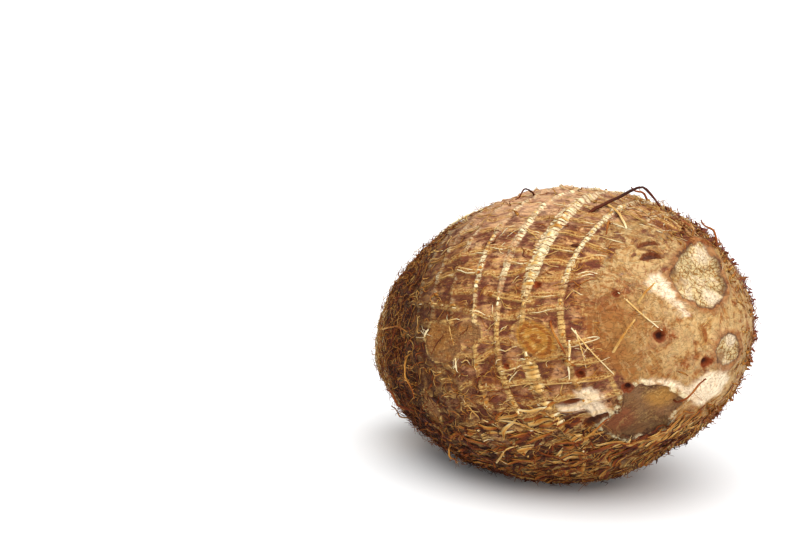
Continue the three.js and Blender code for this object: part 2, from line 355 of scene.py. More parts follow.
def skin(place, angle, withCords=False):
    x = np.clip(place + ringShift(place, angle), -body["halfLength"], body["halfLength"])
    point, normal = smoothBody(x, angle)
    spot = point + normal * swell(point)[..., None]
    radius = np.hypot(point[..., 1], point[..., 2])
    aside, over, under = facing(x, angle)
    far = smooth(aside, 0.05, 0.55)
    edge = 30 + 4 * over**2 + 15 * under + 5 * far + 3.5 * lumps(spot, 7.0, 1)
    bare = smooth(x, edge, edge + 8) * (1 - 0.8 * smooth(under, 0.45, 0.85))
    bare = bare * (1 - smooth(over, 0.2, 0.7) * smooth(aside + 0.06 * lumps(spot, 5.0, 2), -0.22, -0.06))
    crown = smooth(-x, 38, 46)
    # darker towards the crown: partly the skin's own darker colour, partly painted shade, with less of it on
    # the top where the light falls
    darkAndShaded = smooth(-x, -4, 30) * (1 - crown) * (1 - 0.4 * over**2)
    pressed = smooth(-leanedWay(normal)[..., 2], 0.93, 0.985)
    uneven = lumps(spot, 8.0, 21) + 0.7 * lumps(spot, 3.2, 22) + 0.5 * np.sin(angle + 0.35 * radius)
    ringed = place + 0.12 * (body["halfLength"] + place) * uneven * crown
    phase = ringPhase(ringed)
    netted = smooth(place, -47, -40) * (1 - smooth(place, 24, 46)) * (1 - bare)

    ridge, pale, ridgeShadow = 0, 0, 0
    worn = rings["worn"] * (1 - 0.6 * bare) + (1 - rings["worn"]) * crown
    for band, (start, height, back, paleness) in enumerate(rings["ridges"]):
        side = np.where(ringed < start, rings["front"], back)
        t = np.clip(1 - np.abs(ringed - start) / side, 0, 1)
        chipped = 0.8 + 0.2 * np.sin(3 * angle + 2.1 * band)
        ridge = ridge + height * chipped * (t if back > 2.5 else smooth(t, 0, 1))
        half = ringHalf(band, angle)
        pale = np.maximum(pale, paleness * (1 - smooth(np.abs(place - start), 0.75 * half, half + 0.45)))
        # painted shadow on the base side of each pale ring crest, deepest behind the palest ones
        behind = place - start - 0.8 * half
        shaded = smooth(behind, -0.1, 0.5) * (1 - smooth(behind, 0.8, 3.0))
        ridgeShadow = np.maximum(ridgeShadow, shaded * (0.4 + 0.6 * paleness) * (paleness > 0))
    gnawed = 1 + 0.4 * lumps(spot, 2.6, 5) * (1 - 0.7 * crown)
    relief = worn * ridge * gnawed

    cordAway, below = np.full(x.shape, 5.0), np.zeros(x.shape)
    if withCords:
        for cord in plannedCords:
            near = (x > cord[0] - 3) & (x < cord[2] + 3)
            near &= np.abs((angle - cord[1] + pi) % (2 * pi) - pi) * radius < 7
            if near.any():
                away, aside = cordDistance(x[near], angle[near], radius[near], cord)
                cordAway[near] = np.minimum(cordAway[near], away)
                # below: where a painted shadow falls just under each cord; the skin is also sunk a little
                # there
                shade = np.exp(-(((aside - 1.1) / 0.7) ** 2)) * (np.abs(away - np.abs(aside)) < 1.0)
                below[near] = np.maximum(below[near], shade)
        relief = relief + cords["height"] * np.exp(-((cordAway / 0.55) ** 2)) * (1 - 0.7 * bare)
        relief = relief - 0.22 * below * netted

    shaggy = 1 - bare
    for height, size, seed, onSmooth, onCrown in bumps:
        bumpy = height * lumps(spot, size, seed)
        relief = relief + bumpy * (onSmooth + (1 - onSmooth) * shaggy) * (1 - (1 - onCrown) * crown)
    relief = relief + 0.16 * np.sin(5.2 * phase * pi + 2.0 * lumps(spot, 9.0, 15)) * crown
    bud = 1.3 * (1 - smooth(radius, 0, 3.6)) * (x < 0)

    diskAway = np.full(x.shape, 30.0)
    for diskX, degrees, halfWidth, halfLength, height in disks:
        away = ovalDistance(spot, diskX, degrees, halfWidth, halfLength) + 0.5 * lumps(spot, 3.0, 16)
        inside = 1 - smooth(away, -0.7, 0.5)
        lip = rim(away, 0.3, 0.2, 0.7)
        relief = relief * (1 - 0.75 * inside) + height * inside + lip
        diskAway = np.minimum(diskAway, away)
    goldAway = ovalDistance(spot, *disks[0][:4])

    dishAway = np.full(x.shape, 30.0)
    for dishX, degrees, dishRadius in dishes:
        away = np.linalg.norm(spot - tangentPlane(dishX, degrees)[0], axis=-1) - dishRadius
        dishAway = np.minimum(dishAway, away + 1.6 * lumps(spot, 3.5, 17))
    relief = relief - 0.25 * (1 - smooth(dishAway, -2.0, 0.3)) * bare
    relief = relief + rim(dishAway, 0.1, 0.4, 0.9) * bare

    peelAway = outlineDistance(spot, peel["x"], peel["angle"], peel["outline"]) + 0.55 * lumps(spot, 1.5, 9)
    inside = 1 - smooth(peelAway, -0.5, 0.2)
    relief = relief * (1 - 0.8 * inside) - (peel["depth"] + 0.25 * lumps(spot, 4.0, 18)) * inside
    relief = relief + rim(peelAway, 0.4, 0.4, 0.6)

    pitAway = np.full(x.shape, 30.0)
    for pitX, degrees, pitRadius in pits:
        middle = tangentPlane(pitX, degrees)[0]
        away = np.linalg.norm((spot - middle) * (0.85, 1, 1), axis=-1) - pitRadius
        pitAway = np.minimum(pitAway, away)
    pitAway = pitAway + 0.25 * lumps(spot, 1.3, 19)
    hollow = 1 - smooth(pitAway, -1.1, 0.25)
    relief = relief * (1 - 0.6 * (1 - smooth(pitAway, 0, 2.5))) - pitDepth * hollow
    relief = relief + rim(pitAway, 0.3, 0.55, 0.5)

    slitAway = np.full(x.shape, 30.0)
    for slit in slits:
        slitAway = np.minimum(slitAway, ovalDistance(spot, *slit))
    for crack in cracks:
        slitAway = np.minimum(slitAway, outlineDistance(spot, *crack) + 0.2 * lumps(spot, 1.6, 13))
    relief = relief - (1 - smooth(slitAway, -0.6, 0.2)) + rim(slitAway, 0.25, 0.7, 0.5)
    relief = relief * (1 - pressed)

    scarAway = np.full(x.shape, 30.0)
    spot = spot + normal * (relief + bud)[..., None]
    for scarX, degrees, depth, outline in scars:
        middle, scarNormal = tangentPlane(scarX, degrees)[:2]
        height = (spot - middle) @ scarNormal
        ragged = outlineDistance(spot, scarX, degrees, outline) + 0.5 * lumps(spot, 2.4, 10)
        corky = 0.6 * lumps(spot, 3.4, 11) + 0.4 * lumps(spot, 1.5, 12)
        inside = 1 - smooth(ragged, -1.0, 0.1)
        cut = np.maximum(0, height + 0.85 * depth - 0.4 - corky) * inside
        lip = rim(ragged, 0.6, 0.9, 0.9)
        spot = spot + scarNormal * (lip - cut)[..., None]
        scarAway = np.minimum(scarAway, ragged)

    chalk = np.zeros(x.shape)
    for chalkX, degrees, chalkRadius in chalky:
        away = np.linalg.norm(spot - tangentPlane(chalkX, degrees)[0], axis=-1) / chalkRadius
        chalk = np.maximum(chalk, 0.9 * (1 - smooth(away, 0.3, 1.3)))
    for chalkX, degrees, inward, outline in chalkOutlines:
        away = outlineDistance(spot, chalkX, degrees, outline)
        chalk = np.maximum(chalk, 1 - smooth(away, -inward, 2.0))
    return {
        "spot": spot, "normal": normal, "radius": radius, "bare": bare, "crown": crown, "darkAndShaded": darkAndShaded,
        "phase": phase, "pale": pale, "cord": cordAway, "below": below, "scar": scarAway,
        "pit": pitAway, "dish": dishAway, "peel": peelAway, "gold": goldAway, "disk": diskAway,
        "slit": slitAway, "ridgeShadow": ridgeShadow, "chalk": chalk, "under": under, "over": over, "far": far,
        "pressed": pressed,
    }


def inModel(spot):
    place = leaned(spot)
    place[..., 2] = np.maximum(place[..., 2], 0)   # flattened where it rests
    return place * mm


# Shader maths


class Signal:
    # a socket's output, on which arithmetic adds Math nodes
    def __init__(self, paint, socket):
        self.paint = paint
        self.socket = socket

    def __add__(self, other):
        return self.paint.maths("ADD", self, other)

    def __sub__(self, other):
        return self.paint.maths("SUBTRACT", self, other)

    def __rsub__(self, other):
        return self.paint.maths("SUBTRACT", other, self)

    def __mul__(self, other):
        return self.paint.maths("MULTIPLY", self, other)

    def __abs__(self):
        return self.paint.maths("ABSOLUTE", self)

    __radd__ = __add__
    __rmul__ = __mul__


class Paint:
    def __init__(self, name):
        self.material = bpy.data.materials.new(name)
        self.material.use_nodes = True
        self.tree = self.material.node_tree
        self.shader = self.tree.nodes["Principled BSDF"]
        self.shader.inputs["Specular IOR Level"].default_value = 0.2

    def node(self, kind, settings=None, sockets=None, output=0):
        made = self.tree.nodes.new(kind)
        for name, value in (settings or {}).items():
            setattr(made, name, value)
        for name, value in (sockets or {}).items():
            self.feed(made.inputs[name], value)
        return Signal(self, made.outputs[output])

    def feed(self, target, value):
        if isinstance(value, Signal):
            self.tree.links.new(value.socket, target)
        else:
            target.default_value = value

    def maths(self, operation, *values):
        return self.node("ShaderNodeMath", {"operation": operation}, dict(enumerate(values)))

    def vector(self, operation, *values):
        return self.node("ShaderNodeVectorMath", {"operation": operation}, dict(enumerate(values)))

    def stretched(self, spot, amounts):
        return self.vector("MULTIPLY", spot, amounts)

    def reading(self, name, output="Fac"):
        return self.node("ShaderNodeAttribute", {"attribute_name": name}, output=output)

    def noise(self, spot, scale, detail=3.0, roughness=0.55, distortion=0.0):
        values = {"Vector": spot, "Scale": scale, "Detail": detail, "Roughness": roughness}
        values["Distortion"] = distortion
        return self.node("ShaderNodeTexNoise", None, values)

    def web(self, spot, scale):
        # nought along the lines of an uneven web, larger in its cells
        settings = {"feature": "DISTANCE_TO_EDGE"}
        values = {"Vector": spot, "Scale": scale, "Randomness": 1.0}
        return self.node("ShaderNodeTexVoronoi", settings, values)

    def warped(self, spot, scale, amount):
        # the same places pushed about by noise
        settings = {"Vector": spot, "Scale": scale, "Detail": 2.0}
        push = self.node("ShaderNodeTexNoise", None, settings, output=1)
        push = self.vector("SUBTRACT", push, (0.5, 0.5, 0.5))
        push = self.node("ShaderNodeVectorMath", {"operation": "SCALE"}, {0: push, 3: amount})
        return self.vector("ADD", spot, push)

    def near(self, spot, x, degrees, radius):
        # 1 close to a place on the skin, falling to nought at the radius
        middle = tuple(float(part) for part in tangentPlane(x, degrees)[0])
        away = self.node("ShaderNodeVectorMath", {"operation": "DISTANCE"}, {0: spot, 1: middle}, output=1)
        return self.step(away, radius, 0.35 * radius)

    def step(self, value, low, high):
        settings = {"interpolation_type": "SMOOTHSTEP"}
        return self.node("ShaderNodeMapRange", settings, {"Value": value, "From Min": low, "From Max": high})

    def blend(self, amount, first, second):
        settings = {"data_type": "RGBA"}
        return self.node("ShaderNodeMix", settings, {0: amount, 6: first, 7: second}, output=2)

    def layers(self, colour, rows):
        # lays tints over a colour one after another, each as thickly as its mask says
        for amount, name in rows:
            colour = self.blend(amount, colour, tint[name])
        return colour

    def shade(self, colour, amount):
        # a colour made darker or lighter by a varying amount
        grey = self.node("ShaderNodeCombineColor", None, {0: amount, 1: amount, 2: amount})
        settings = {"data_type": "RGBA", "blend_type": "MULTIPLY"}
        return self.node("ShaderNodeMix", settings, {0: 1.0, 6: colour, 7: grey}, output=2)

    def finish(self, colour, roughness, height, depth):
        self.feed(self.shader.inputs["Base Color"], colour)
        self.feed(self.shader.inputs["Roughness"], roughness)
        bump = self.node("ShaderNodeBump", None, {"Height": height, "Distance": depth, "Strength": 1.0})
        self.feed(self.shader.inputs["Normal"], bump)
        return self.material


# what every tint below is turned by, to look right under the studio's light
exposure = {"brightness": 0.80, "warmth": (1.0, 1.14, 1.36)}


def hexColour(code):
    parts = [((int(code[i : i + 2], 16) / 255 + 0.055) / 1.055) ** 2.4 for i in (0, 2, 4)]
    return (*[exposure["brightness"] * part**power for part, power in zip(parts, exposure["warmth"])], 1.0)


tints = {
    "paper": "693c2a", "purple": "6f4544", "tanPaper": "a27048", "rosy": "c69a82", "gold": "b3844a",
    "straw": "dcb985", "cream": "f1e2c2", "base": "a07448", "baseLight": "b8946a", "rust": "8f5226",
    "deepRust": "7a401a", "dark": "2e140a", "crown": "5c2d14", "chalk": "f0ddc8", "cork": "d8c4a0",
    "corkGap": "9c7440", "corkSpeck": "7c5740", "rim": "553a38", "torn": "8c705c", "tornRed": "96604e",
    "tornGold": "ac8450", "shed": "a2754c", "shedGrey": "927058", "pit": "3a160c", "pitRim": "8a4526",
    "violet": "8a5660", "papery": "b8946a", "greyPurple": "7c6256", "paperDark": "4a2a1c",
    "palePaper": "d4b792", "sheenHighlight": "e0b8a2",
}
tint = {name: hexColour(code) for name, code in tints.items()}


def drySkin():
    paint = Paint("dry skin")
    step, blend, reading = paint.step, paint.blend, paint.reading
    spot = reading("spot", "Vector")
    bare, crown, darkAndShaded = reading("bare"), reading("crown"), reading("darkAndShaded")
    under, over = reading("under"), reading("over")
    bent = paint.warped(spot, 0.16, 3.0)
    fine = paint.noise(paint.stretched(bent, (0.22, 1, 1)), 1.35, 4, 0.62)
    strands = paint.noise(paint.stretched(bent, (0.15, 1, 1)), 0.8, 3, 0.55, 0.6)
    speckle = paint.noise(spot, 1.7, 4, 0.65)
    blotch = paint.noise(spot, 0.085, 3, 0.6)
    patchy = paint.noise(paint.stretched(spot, (0.7, 1, 1)), 0.26, 3, 0.6)
    thread = step(abs(strands - 0.5), 0.032, 0.004)

    # papery cells of the net
    cordAway = reading("cord") + (speckle - 0.5) * 0.3
    pale = reading("pale")
    paper = blend(step(patchy, 0.36, 0.60), tint["paper"], tint["tanPaper"])
    paper = paint.layers(paper, [
        (step(blotch + patchy, 0.94, 1.14) * 0.8, "rosy"),
        (step(blotch - patchy, 0.0, 0.18) * 0.7, "purple"),
        # painted highlight: rosy on the top
        (step(over + patchy * 0.8, 1.0, 1.4) * 0.6, "rosy"),
        (step(fine, 0.50, 0.72) * 0.55, "gold"),
        (thread * step(speckle, 0.38, 0.6) * 0.6, "straw"),
        # painted highlight: straw on the top
        (step(patchy + fine, 1.0, 1.25) * over * 0.8, "straw"),
    ])
    # painted shadow: purple and dark on the base side of each pale ring crest
    ridgeShadow = reading("ridgeShadow") * step(patchy + speckle * 0.4, 0.46, 0.72)
    paper = paint.layers(paper, [
        (ridgeShadow * 0.8, "purple"),
        (ridgeShadow * step(fine, 0.56, 0.40) * 0.75, "dark"),
        # painted shade: dark specks in the gaps of the skin
        (step(speckle + fine, 0.88, 0.70) * 0.6, "dark"),
        # painted shadow: purple just under each cord
        (reading("below") * 0.75, "purple"),
    ])
    cell = step(cordAway + (patchy - 0.5) * 1.2, 1.1, 2.2) * step(pale + fine * 0.2, 0.3, 0.12)
    paper = paint.layers(paper, [
        (cell * step(fine + patchy, 1.12, 0.86) * 0.75, "purple"),
        (cell * step(speckle + fine, 1.0, 0.8) * 0.55, "paperDark"),
    ])
    vein = step(cordAway + (fine - 0.5) * 0.6, 1.15, 0.5)
    veinTone = blend(step(speckle, 0.4, 0.6), tint["tanPaper"], tint["straw"])
    paper = blend(vein * 0.75, paper, veinTone)
    paper = blend(step(cordAway, 0.35, 0.05) * 0.7, paper, tint["deepRust"])

    # ring crests, pale and cut across like a ladder
    parts = paint.node("ShaderNodeSeparateXYZ", None, {0: spot}).socket.node
    turn = paint.maths("ARCTAN2", Signal(paint, parts.outputs[2]), Signal(paint, parts.outputs[1]))
    wave = paint.maths("SINE", turn * 182 + fine * 9 + speckle * 2)
    rung = step(wave, 0.93, 0.62)
    # the crests show more and turn creamier towards the top, as a painted highlight
    fade = 0.25 + step(paint.noise(spot, 0.10, 2, 0.5) + over * 0.10, 0.42, 0.60) * 0.75
    crestTone = blend(step(over + patchy * 0.5, 0.45, 0.95), tint["straw"], tint["cream"])
    crestTone = blend(rung * step(speckle, 0.26, 0.5), tint["tanPaper"], crestTone)
    crest = step(pale + (patchy - 0.5) * 0.9 + (fine - 0.5) * 0.7, 0.26, 0.58) * step(pale, 0.02, 0.2)
    crest = crest * fade
    paper = blend(crest * 0.95, paper, crestTone)
    # painted sheen: a pale pink highlight over the top, fading where the skin is darker and shaded towards
    # the crown
    sheen = step(over + (patchy - 0.5) * 0.7 + (fine - 0.5) * 0.6, 0.70, 1.12) * (1 - darkAndShaded)
    paper = blend(sheen * 0.72, paper, tint["sheenHighlight"])

    # darker towards the crown, partly its own colour and partly painted shade, tangled with thin golden
    # threads; underneath, painted shade in the hollows, and pale strips
    tangle = paint.web(paint.warped(paint.stretched(spot, (0.5, 1, 1)), 0.5, 2.2), 0.55)
    deep = blend(step(speckle, 0.35, 0.65), tint["dark"], tint["crown"])
    deep = blend(step(tangle, 0.10, 0.02) * 0.75, deep, tint["gold"])
    paper = blend(darkAndShaded * step(patchy + speckle * 0.7, 0.66, 0.98) * 0.95, paper, deep)
    # painted shade together with the skin's own darker colour, deepening towards the crown
    paper = paint.shade(paper, 1 - darkAndShaded * 0.60)

    # painted shade: dark hollows among the strips underneath
    hollow = step(under, 0.2, 0.6) * step(patchy + fine * 0.6, 0.92, 0.74)
    paper = blend(hollow * 0.85, paper, tint["paperDark"])
    bark = under * step(strands + speckle * 0.3, 0.68, 0.80)
    paper = blend(bark * 0.7, paper, tint["straw"])

    # the crown's terraces: papery, mottled, pale along their rims, with painted shade in their folds
    phase = reading("phase")
    place = phase - paint.maths("FLOOR", phase) + (patchy - 0.5) * 0.3 + (speckle - 0.5) * 0.2
    face = blend(step(patchy, 0.36, 0.6), tint["papery"], tint["gold"])
    face = paint.layers(face, [
        (step(blotch + patchy, 0.85, 1.1) * 0.85, "greyPurple"),
        (step(blotch, 0.58, 0.68) * 0.7, "straw"),
        (step(fine, 0.44, 0.30) * 0.55, "deepRust"),
    ])
    scuffs = paint.noise(spot, 0.9, 5, 0.7)
    face = paint.layers(face, [
        (step(scuffs, 0.55, 0.64) * 0.6, "straw"),
        (step(scuffs, 0.45, 0.36) * 0.6, "deepRust"),
    ])
    rimmedFace = step(abs(place - 0.12), 0.16, 0.03) * step(patchy + fine, 0.86, 1.12)
    face = blend(rimmedFace * 0.9, face, tint["cream"])
    # painted shade in the folds between terraces
    foldShade = step(abs(place - 0.93), 0.14, 0.02) * step(fine + blotch, 0.78, 1.0)
    face = blend(foldShade * 0.9, face, tint["dark"])
    bud = step(reading("radius"), 6.5, 2.0) * crown
    face = blend(bud * step(patchy, 0.35, 0.55) * 0.85, face, tint["rust"])
    paper = blend(step(crown + (patchy - 0.5) * 0.5, 0.35, 0.7), paper, face)

    # bare base: golden, with rusty smears, pale streaks, a faint web of veins and chalky patches
    grain = paint.noise(paint.stretched(bent, (0.30, 1, 1)), 0.42, 4, 0.58, 0.9)
    smear = paint.noise(paint.stretched(bent, (0.45, 1, 1)), 0.17, 3, 0.55, 0.5)
    veins = paint.web(paint.warped(spot, 0.12, 7.0), 0.125)
    ground = blend(step(smear, 0.36, 0.60), tint["baseLight"], tint["base"])
    ground = paint.layers(ground, [
        (step(smear, 0.50, 0.66) * 0.85, "rust"),
        (step(grain, 0.52, 0.68) * 0.7, "deepRust"),
        (step(grain, 0.46, 0.34) * 0.75, "baseLight"),
        (thread * step(patchy, 0.4, 0.6) * 0.7, "straw"),
    ])
    # streaks
    streak = paint.noise(paint.stretched(paint.warped(spot, 0.1, 6.0), (1, 0.45, 0.35)), 0.85, 5, 0.66, 0.3)
    ground = paint.layers(ground, [
        (step(streak, 0.52, 0.62) * 0.75, "palePaper"),
        (step(streak, 0.46, 0.36) * 0.6, "rust"),
    ])
    dish = step(reading("dish") + (grain - 0.5) * 1.5, 0.0, -1.2)
    ground = blend(dish * step(smear + streak, 0.86, 1.06) * 0.7, ground, tint["rust"])
    dishRim = step(abs(reading("dish") - 0.3 + (grain - 0.5)), 0.5, 0.1)
    ground = paint.layers(ground, [
        (dishRim * step(patchy, 0.46, 0.62) * 0.3, "straw"),
        (step(veins, 0.05, 0.012) * step(smear, 0.42, 0.6) * 0.4, "straw"),
        (step(speckle + fine, 0.80, 0.62) * 0.35, "deepRust"),
        (step(phase + (smear - 0.5) * 2.0, 17.8, 16.6) * (0.55 - over * 0.5), "base"),
    ])
    rusty = step(phase + (smear - 0.5) * 2.0, 16.9, 15.4)
    ground = blend(rusty * (0.80 - over * 0.85), ground, tint["rust"])
    high = step(over, 0.15, 0.5)
    ground = paint.layers(ground, [
        (high * step(grain + streak, 1.00, 0.88) * 0.85, "palePaper"),
        (high * step(grain, 0.53, 0.62) * 0.7, "purple"),
        (rusty * step(streak + fine, 1.04, 1.18) * 0.5, "straw"),
    ])
    tip = step(reading("radius"), 29.0, 19.0) * step(patchy + streak, 0.84, 1.06)
    ground = paint.layers(ground, [
        (tip * 0.55, "palePaper"),
        (step(reading("far") + patchy * 0.5, 0.5, 1.1) * 0.5, "rust"),
    ])
    chalk = step(reading("chalk") + (grain - 0.5) * 1.1 + (patchy - 0.5) * 0.9, 0.15, 0.90)
    chalk = chalk * (0.62 + step(streak + speckle * 0.3, 0.50, 0.66) * 0.38)
    ground = blend(chalk * 0.95, ground, tint["chalk"])
    bareEdge = step(bare + (fine - 0.5) * 0.8 + (patchy - 0.5) * 0.6, 0.32, 0.62)
    colour = blend(bareEdge, paper, ground)
    colour = blend(chalk * (1 - bareEdge) * (1 - crown) * 0.85, colour, tint["chalk"])

    # shed disks and the golden scar
    diskAway = reading("disk") + (speckle - 0.5) * 1.0
    shed = blend(step(patchy, 0.4, 0.6), tint["shed"], tint["shedGrey"])
    shed = paint.layers(shed, [
        (step(grain, 0.56, 0.66) * 0.6, "rust"),
        (step(speckle, 0.52, 0.66) * 0.5, "straw"),
        (step(speckle + fine, 0.92, 0.76) * 0.5, "deepRust"),
    ])
    colour = blend(step(diskAway, 0.2, -0.5) * 0.92, colour, shed)
    goldAway = reading("gold")
    whorl = paint.maths("SINE", goldAway * 2.6 + patchy * 9)
    golden = blend(step(whorl, -0.3, 0.9) * 0.7, tint["gold"], tint["rust"])
    golden = blend(step(fine, 0.52, 0.66) * 0.7, golden, tint["straw"])
    colour = blend(step(goldAway + (speckle - 0.5) * 1.6, 0.4, -0.6), colour, golden)
    rimmed = step(abs(diskAway - 0.5), 0.5, 0.1) * step(fine, 0.42, 0.58)
    colour = blend(rimmed * 0.7, colour, tint["straw"])

    # torn patch
    peelAway = reading("peel") + (speckle - 0.5) * 0.8
    torn = blend(step(patchy, 0.42, 0.60) * 0.5, tint["torn"], tint["corkSpeck"])
    torn = paint.layers(torn, [
        (paint.near(spot, *peel["tones"]["red"]) * 0.85, "tornRed"),
        (paint.near(spot, *peel["tones"]["gold"]) * 0.9, "tornGold"),
        (paint.near(spot, *peel["tones"]["rim"]) * 0.8, "rim"),
        (step(speckle + grain, 1.08, 1.24) * 0.35, "straw"),
        (step(speckle, 0.40, 0.28) * 0.4, "dark"),
    ])
    border = step(abs(peelAway - 0.7), 1.1, 0.2) * step(patchy + speckle * 0.6, 0.72, 0.92)
    colour = blend(border * 0.9, colour, tint["cream"])
    colour = blend(step(peelAway, 0.25, -0.2), colour, torn)
    edge = step(abs(peelAway + 0.2), 0.5, 0.1) * step(patchy - speckle * 0.3, 0.36, 0.24)
    colour = blend(edge * 0.8, colour, tint["rim"])

    # corky scars of broken shoots
    scarAway = reading("scar")
    crumbs = paint.web(paint.warped(spot, 0.6, 1.6), 0.75)
    cork = blend(step(crumbs + speckle * 0.12, 0.07, 0.20), tint["corkGap"], tint["cork"])
    cork = paint.layers(cork, [
        (step(speckle + patchy, 0.92, 0.74) * 0.7, "corkSpeck"),
        (step(patchy + fine * 0.5, 0.72, 0.92) * 0.6, "chalk"),
    ])
    for x, degrees, radius, amount, name in scarTones:
        there = paint.near(spot, x, degrees, radius) * step(speckle + crumbs, 0.34, 0.60)
        cork = blend(there * amount, cork, tint[name])
    colour = blend(step(scarAway + (grain - 0.5) * 3, 2.2, 0.6) * 0.6, colour, tint["rust"])
    rimAway = step(scarAway + (speckle - 0.5) * 1.2 + (patchy - 0.5) * 4.4, 0.45, -0.2)
    colour = blend(rimAway * 0.85, colour, tint["rim"])
    corky = step(scarAway + (speckle - 0.5) * 1.4 + (patchy - 0.5) * 2, 0.1, -0.8)
    colour = blend(corky, colour, cork)

    # slits, pits and the bud
    slitAway = reading("slit") + (speckle - 0.5) * 0.25
    colour = paint.layers(colour, [
        (step(abs(slitAway - 0.9), 0.6, 0.2) * 0.25, "straw"),
        (step(slitAway, 0.25, -0.15) * 0.9, "deepRust"),
        (step(slitAway, -0.2, -0.8) * 0.85, "rim"),
    ])
    # the pits' own dark colour, deepened inside the holes as painted shade
    pitAway = reading("pit") + (speckle - 0.5) * 0.5
    colour = paint.layers(colour, [
        (step(pitAway, 0.45, -0.1) * 0.9, "pitRim"),
        (step(pitAway, -0.25, -0.95), "pit"),
    ])
    tone = paint.noise(spot, 0.045, 2, 0.5)
    # painted light and shade: lighter on the top of the net, darker on the top of the bare base and darker
    # underneath away from it; the bare base is also a little darker all over and chalky patches brighter
    low = step(under, 0.2, 0.8)
    toneAndShading = 0.77 - bareEdge * 0.07 + over * (0.06 - bareEdge * 0.20)
    toneAndShading = toneAndShading - low * (1 - bareEdge) * 0.45 + chalk * 0.22
    colour = paint.shade(colour, toneAndShading + tone * 0.40)

    height = fine * 0.35 + thread * 0.25 + crest * rung * 0.3 + speckle * (0.30 - bareEdge * 0.18)
    height = height + (1 - bareEdge) * step(tangle, 0.10, 0.0) * darkAndShaded * 0.4
    roughness = 0.80 - bareEdge * 0.26 + speckle * 0.2
    return paint.finish(colour, roughness, height, 0.7 * mm)


def dryFibre():
    paint = Paint("dry fibre")
    step, blend, reading = paint.step, paint.blend, paint.reading
    tone = reading("tone")
    spot = reading("spot", "Vector")
    wear = paint.noise(spot, 0.9, 2, 0.5)
    shaded = tone + (wear - 0.5) * 0.2
    colour = blend(step(shaded, 0.0, 0.30), tint["dark"], tint["crown"])
    colour = paint.layers(colour, [
        (step(shaded, 0.25, 0.50), "rust"),
        (step(shaded, 0.45, 0.66), "gold"),
        (step(shaded, 0.62, 0.84), "straw"),
        (step(shaded, 0.82, 1.0), "cream"),
        (reading("violet") * step(wear, 0.25, 0.5), "violet"),
    ])
    return paint.finish(colour, 0.6 + wear * 0.3, wear, 0.05 * mm)


# Meshes


def writeFloats(mesh, name, values):
    layer = mesh.attributes.new(name, "FLOAT", "POINT")
    layer.data.foreach_set("value", np.ascontiguousarray(values, np.float32).ravel())


def writeSpots(mesh, spots):
    layer = mesh.attributes.new("spot", "FLOAT_VECTOR", "POINT")
    layer.data.foreach_set("vector", np.ascontiguousarray(spots, np.float32).ravel())


def writeMap(mesh, corners):
    layer = mesh.uv_layers.new(name="OFBake")
    layer.data.foreach_set("uv", np.ascontiguousarray(corners, np.float32).ravel())


def addPiece(name, mesh, material):
    mesh.materials.append(material)
    mesh.polygons.foreach_set("use_smooth", np.ones(len(mesh.polygons), bool))
    piece = bpy.data.objects.new(name, mesh)
    bpy.context.scene.collection.objects.link(piece)
    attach(piece, "root")
    return piece


def skinRows(count):
    # rows of points from crown to base, evenly spaced, with one on the crest of every ring
    ends = np.concatenate([[-body["halfLength"]], ringPlaces, [body["halfLength"]]])
    fine = np.linspace(-1, 1, 4001) * body["halfLength"]
    points = smoothBody(fine, np.zeros(fine.shape))[0]
    travelled = np.concatenate([[0], np.cumsum(np.linalg.norm(np.diff(points, axis=0), axis=1))])
    marks = np.interp(ends, fine, travelled)
    rows = []
    for start, end in zip(marks[:-1], marks[1:]):
        steps = max(2, round(count * (end - start) / marks[-1]))
        rows.extend(np.linspace(start, end, steps, endpoint=False))
    rows.append(marks[-1])
    return np.interp(rows, travelled, fine), np.array(rows) / marks[-1]


skinGrid = {"full": (380, 248), "quick": (160, 110)}     # columns round the root and rows along it


def makeSkin():
    columns, wantedRows = skinGrid["full"]
    places, climbs = skinRows(wantedRows)
    angles = np.linspace(0, 2 * pi, columns, endpoint=False)
    grid = np.meshgrid(places[1:-1], angles, indexing="ij")
    made = skin(*grid, withCords=True)
    tips = skin(places[[0, -1]], np.zeros(2), withCords=True)
    rows = len(places) - 2

    def joined(name):
        values = made[name].reshape(rows * columns, *made[name].shape[2:])
        return np.concatenate([values, tips[name]])

    index = np.arange(rows * columns).reshape(rows, columns)
    after = np.roll(index, -1, axis=1)
    quads = np.stack([index[:-1], after[:-1], after[1:], index[1:]], -1).reshape(-1, 4)
    crownTip, baseTip = rows * columns, rows * columns + 1
    crownFan = np.stack([np.full(columns, crownTip), after[0], index[0]], -1)
    baseFan = np.stack([np.full(columns, baseTip), index[-1], after[-1]], -1)
    mesh = bpy.data.meshes.new("skin")
    faces = [*quads.tolist(), *crownFan.tolist(), *baseFan.tolist()]
    mesh.from_pydata(inModel(joined("spot")), [], faces)

    turn = np.arange(columns) / columns
    left = np.broadcast_to(turn, (rows - 1, columns))
    right = left + 1 / columns
    low = np.broadcast_to(climbs[1:-2, None], left.shape)
    high = np.broadcast_to(climbs[2:-1, None], left.shape)
    quadMap = np.stack([left, low, right, low, right, high, left, high], -1).reshape(-1, 2)
    ahead, flat = turn + 1 / columns, np.ones(columns)
    crownMap = np.stack([turn, 0 * flat, ahead, climbs[1] * flat, turn, climbs[1] * flat], -1)
    baseMap = np.stack([turn, flat, turn, climbs[-2] * flat, ahead, climbs[-2] * flat], -1)
    corners = np.concatenate([quadMap, crownMap.reshape(-1, 2), baseMap.reshape(-1, 2)])
    writeMap(mesh, corners)

    writeSpots(mesh, joined("spot"))
    for name in (
        "bare", "crown", "darkAndShaded", "under", "over", "far", "phase", "pale", "cord", "below", "scar", "pit",
        "dish", "peel", "gold", "disk", "slit", "ridgeShadow", "chalk", "radius",
    ):
        writeFloats(mesh, name, joined(name))
    piece = addPiece("skin", mesh, drySkin())
    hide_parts("corm")


# Strands: every hair, cord and rootlet is a closed tapering tube


